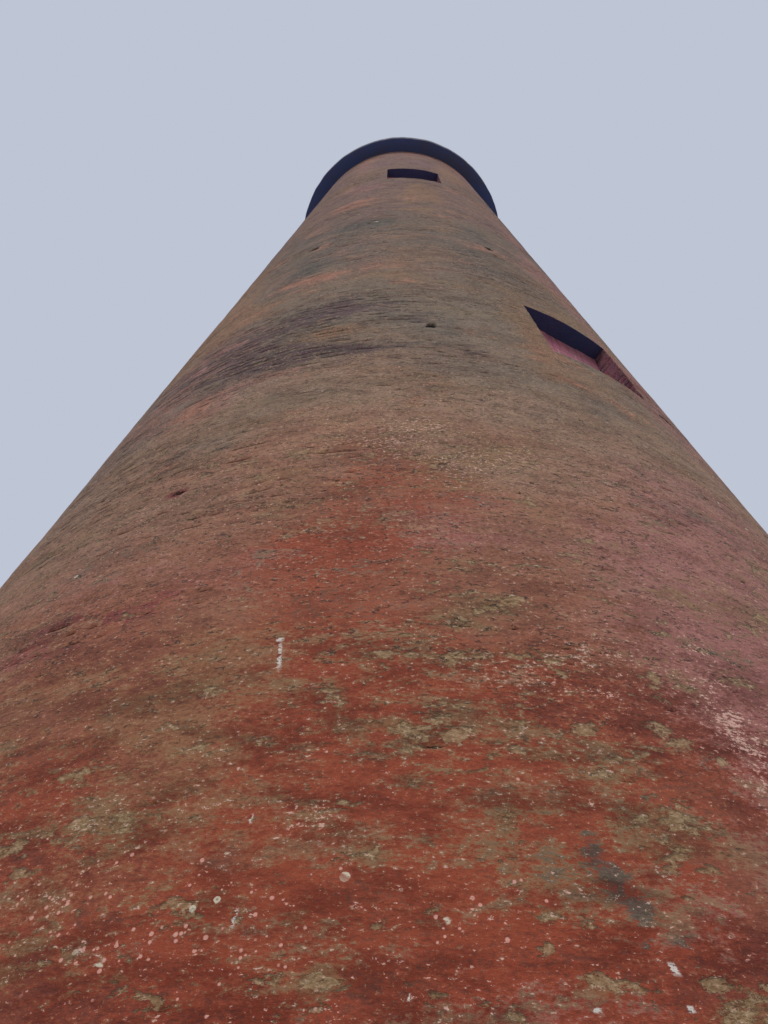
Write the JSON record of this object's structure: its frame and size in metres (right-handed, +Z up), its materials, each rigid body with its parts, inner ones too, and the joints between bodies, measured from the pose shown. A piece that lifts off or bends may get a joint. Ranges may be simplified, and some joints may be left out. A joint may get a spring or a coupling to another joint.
{
  "type": "lighthouse",
  "caption": "Round tapering masonry light tower with blocked windows, an arched doorway, floors, a gallery with railing and a small glazed lantern.",
  "frame": {"origin": "on the tower's axis at ground level", "axes": "+Z up the tower, -Y to the front, where the upper visible window is, +X to the right"},
  "size_m": [7.75, 7.75, 21.45],
  "materials": {
    "painted_brick": "weathered red paint on brickwork",
    "painted_infill": "weathered red paint on rendered brick",
    "threshold_stone": "worn",
    "floor_boards": "sawn",
    "blackened_slab": "tarred",
    "railing_iron": "painted",
    "lantern_iron": "weathered paint",
    "lantern_glass": "clear",
    "roof_metal": "weathered black paint"
  },
  "bodies": {
    "root": {"doorway_arch": "painted_brick", "doorway_threshold": "threshold_stone", "foot_wall_back_left": "painted_brick", "foot_wall_back_right": "painted_brick", "foot_wall_front": "painted_brick", "foot_wall_left": "painted_brick", "foot_wall_right": "painted_brick", "gallery_slab": "blackened_slab", "ground_floor": "threshold_stone", "head_wall_back": "painted_brick", "head_wall_front": "painted_brick", "head_wall_left": "painted_brick", "head_wall_right": "painted_brick", "lantern_door": "lantern_iron", "lantern_head": "lantern_iron", "lantern_panes": "lantern_glass", "lantern_roof": "roof_metal", "lantern_sill": "lantern_iron", "lantern_uprights": "lantern_iron", "lantern_wall": "lantern_iron", "lower_floor": "floor_boards", "lower_pier_back_left": "painted_brick", "lower_pier_back_right": "painted_brick", "lower_pier_front_left": "painted_brick", "lower_pier_front_right": "painted_brick", "lower_wall_back": "painted_brick", "lower_wall_front": "painted_brick", "lower_wall_left": "painted_brick", "lower_wall_right": "painted_brick", "lower_window_infill": "painted_infill", "middle_wall_back": "painted_brick", "middle_wall_front": "painted_brick", "middle_wall_left": "painted_brick", "middle_wall_right": "painted_brick", "railing_posts": "railing_iron", "railing_rails": "railing_iron", "railing_top_rail": "railing_iron", "roof_ventilator": "roof_metal", "upper_floor": "floor_boards", "upper_pier_back_left": "painted_brick", "upper_pier_back_right": "painted_brick", "upper_pier_front_left": "painted_brick", "upper_pier_front_right": "painted_brick", "upper_window_infill": "painted_infill"}
  },
  "joints": []
}
